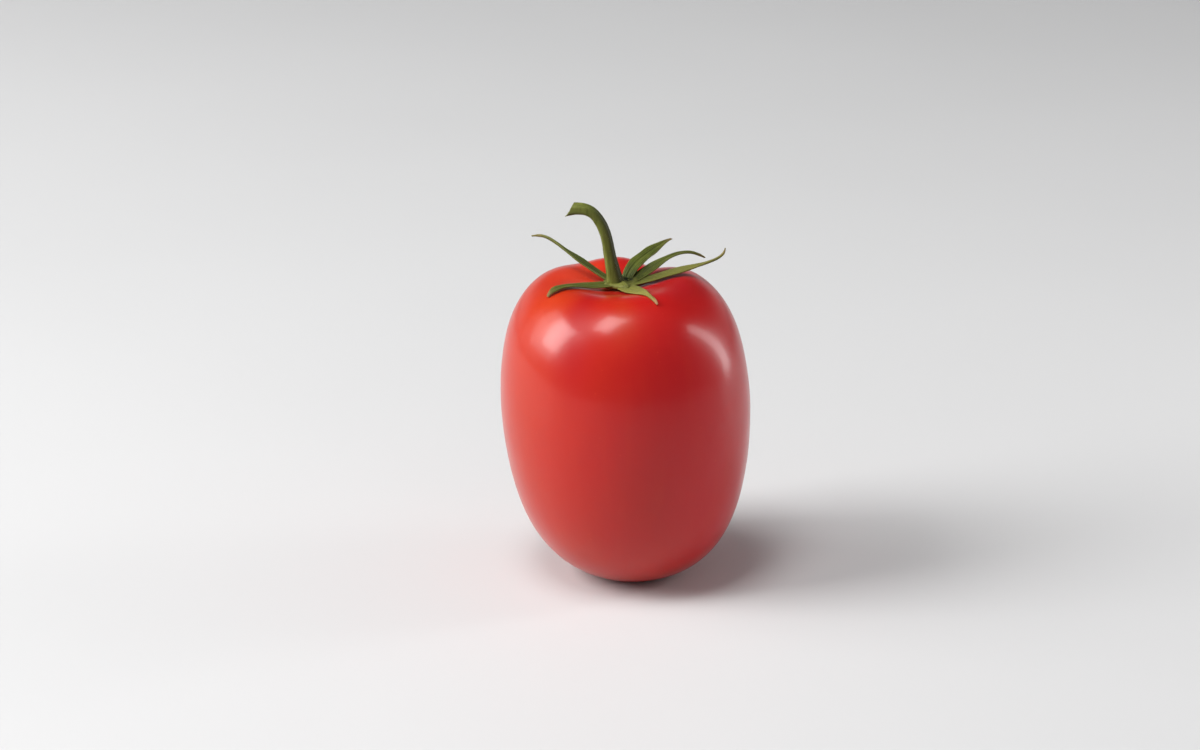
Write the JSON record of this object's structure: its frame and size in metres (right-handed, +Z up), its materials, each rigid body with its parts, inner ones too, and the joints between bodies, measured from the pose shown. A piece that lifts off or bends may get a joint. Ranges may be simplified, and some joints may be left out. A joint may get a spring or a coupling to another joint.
{
  "type": "tomato",
  "caption": "Ripe plum tomato with a glossy red skin, low lobed shoulders, a green calyx of pointed sepals and a short curved stem, standing on its rounded lower end.",
  "frame": {"origin": "middle of the small flat spot under the fruit, on the surface it stands on", "axes": "+Z up towards the stem, -Y towards the picture's camera, the stem's cut end points towards -X"},
  "size_m": [0.0564, 0.0562, 0.0874],
  "materials": {
    "ripe_skin": "glossy, waxy",
    "green_leaf": "matte, finely hairy"
  },
  "bodies": {
    "root": {"fruit": "ripe_skin", "calyx_and_stem": "green_leaf"}
  },
  "joints": []
}
